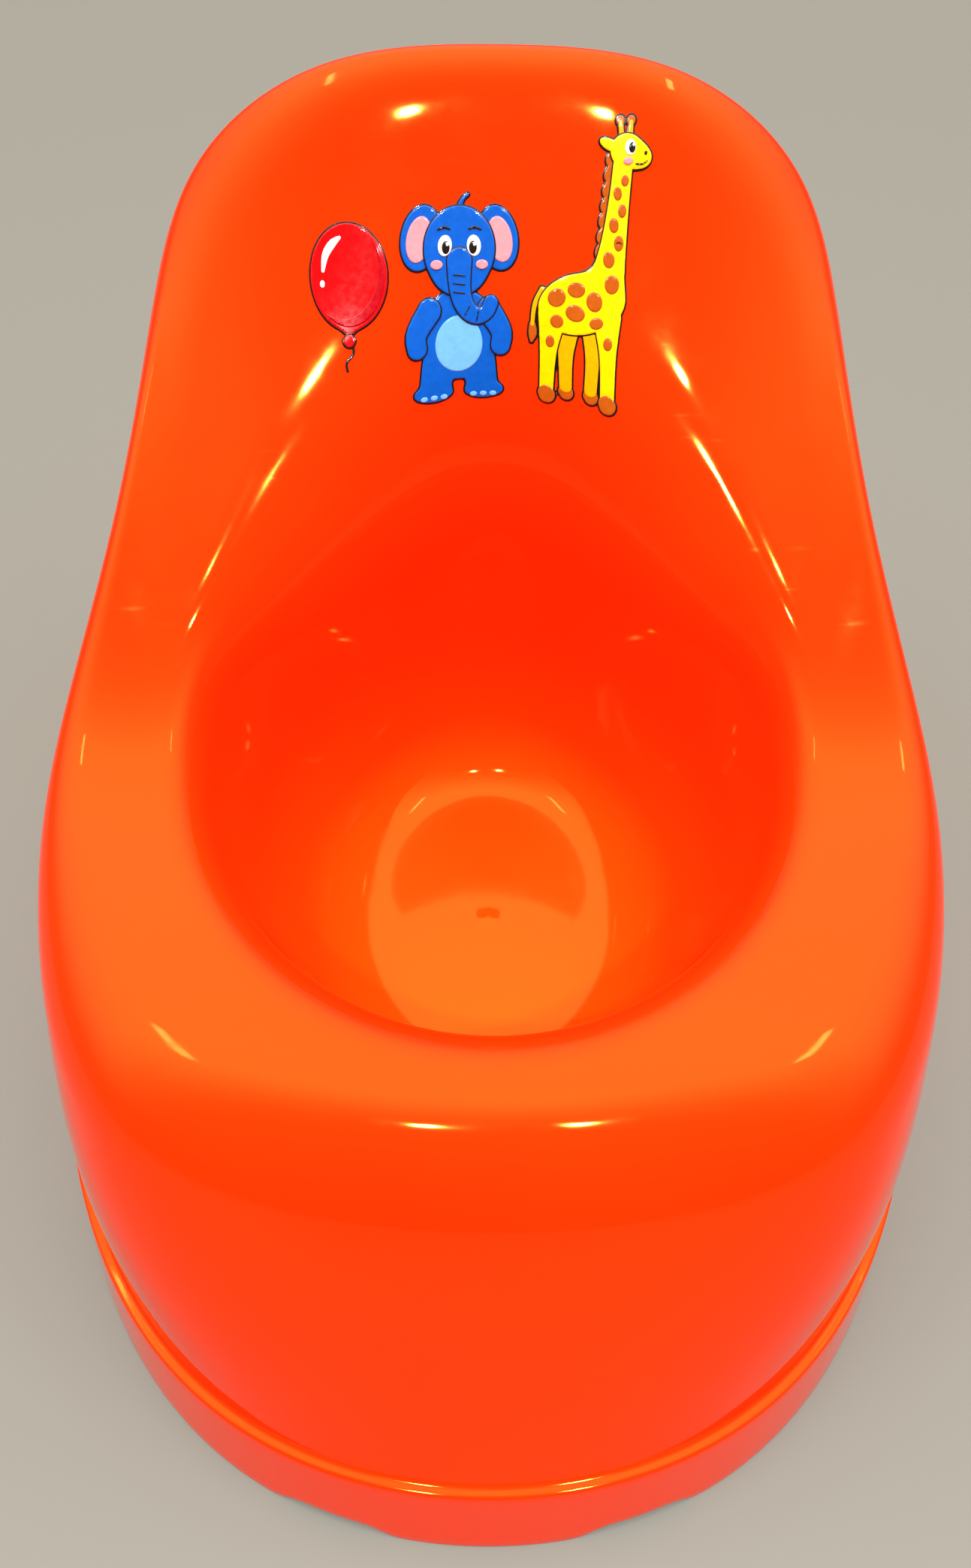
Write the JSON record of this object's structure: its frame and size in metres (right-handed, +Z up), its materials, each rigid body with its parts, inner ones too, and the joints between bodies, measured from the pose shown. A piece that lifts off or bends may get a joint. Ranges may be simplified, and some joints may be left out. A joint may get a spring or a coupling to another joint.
{
  "type": "potty training chair",
  "caption": "Child's potty chair: a one-piece glossy shell with a moulded-in bowl, a dished backrest and a flared foot skirt, with stickers on the backrest.",
  "frame": {"origin": "on the floor, under the middle of the chair's bounding box", "axes": "+Z up, +X across to one side, -Y towards the front of the seat, +Y towards the backrest"},
  "size_m": [0.315, 0.405, 0.2639],
  "materials": {
    "orange_shell": "high-gloss injection-moulded polypropylene",
    "red_sticker": "glossy printed vinyl",
    "blue_sticker": "glossy printed vinyl",
    "yellow_sticker": "glossy printed vinyl"
  },
  "bodies": {
    "root": {"potty_shell": "orange_shell", "sticker_balloon": "red_sticker", "sticker_elephant": "blue_sticker", "sticker_giraffe": "yellow_sticker"}
  },
  "joints": []
}
